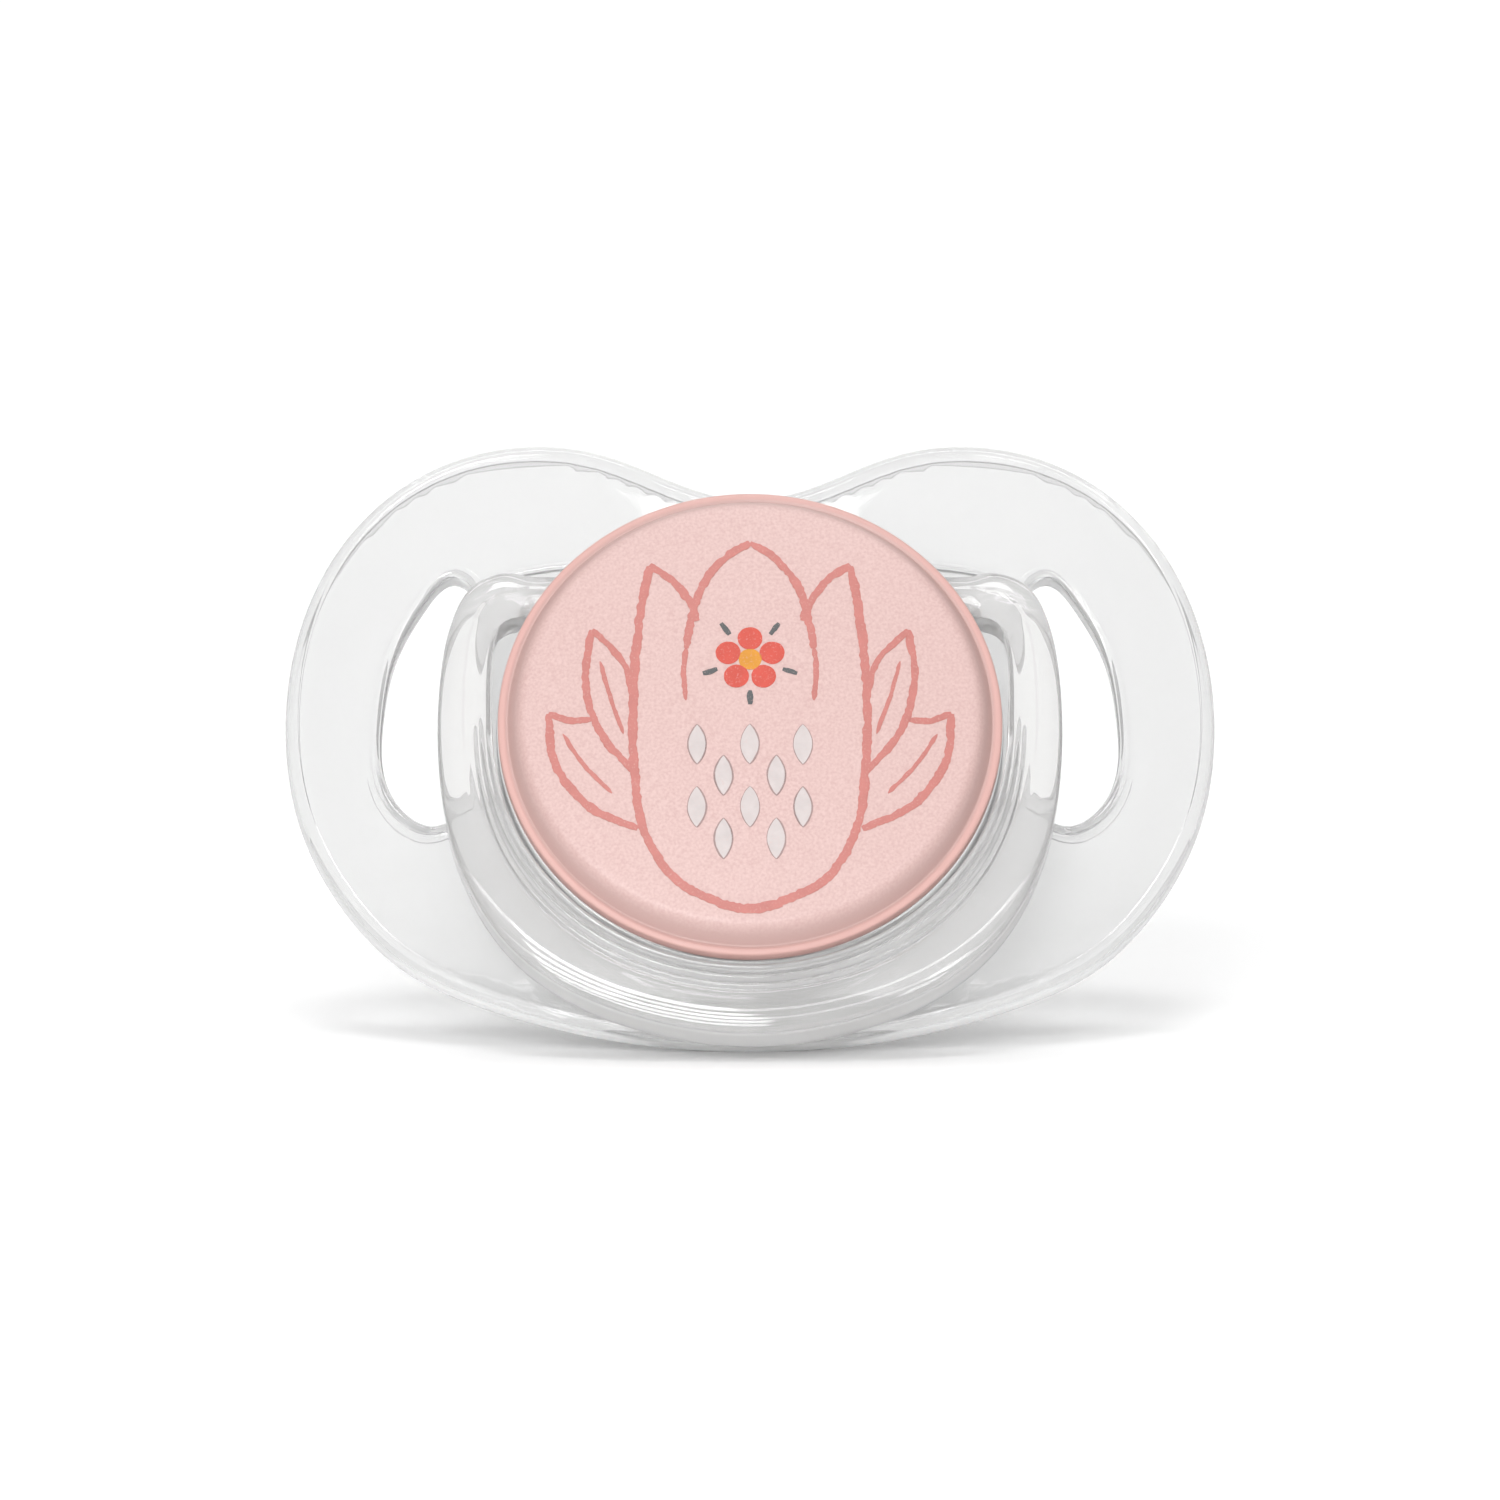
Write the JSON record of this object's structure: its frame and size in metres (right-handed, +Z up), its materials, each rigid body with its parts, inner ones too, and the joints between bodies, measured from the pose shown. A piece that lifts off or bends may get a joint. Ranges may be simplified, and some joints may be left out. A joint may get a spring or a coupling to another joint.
{
  "type": "pacifier",
  "caption": "Infant pacifier: clear curved shield with side vents, hollow silicone teat, round domed button, and a D-shaped ring handle that swings on a bar.",
  "frame": {"origin": "on the table that the pacifier rests on, under the middle of its bounding box", "axes": "+Z up; +X across the shield, to the right seen from the button; the button faces -Y and leans 30 degrees back, so the teat points to +Y and down"},
  "size_m": [0.059, 0.0394, 0.036],
  "materials": {
    "clear_shield": "clear, polished, water-white",
    "clear_ring": "clear, polished, water-white",
    "silicone": "translucent silicone, satin",
    "white_plastic": "moulded, satin",
    "pink_plastic": "pale pink, fine frosted grain, printed flower"
  },
  "bodies": {
    "body": {"shield": "clear_shield", "teat": "silicone", "teat_plug": "white_plastic", "button_base": "white_plastic", "button_cover": "pink_plastic"},
    "ring": {"ring_handle": "clear_ring"}
  },
  "joints": [
    {"name": "ring_swing", "type": "hinge", "parent": "body", "child": "ring", "pos_m": [0, -0.00368, 0.02721], "axis": [-1, 0, 0], "range_deg": [0, 180]}
  ]
}
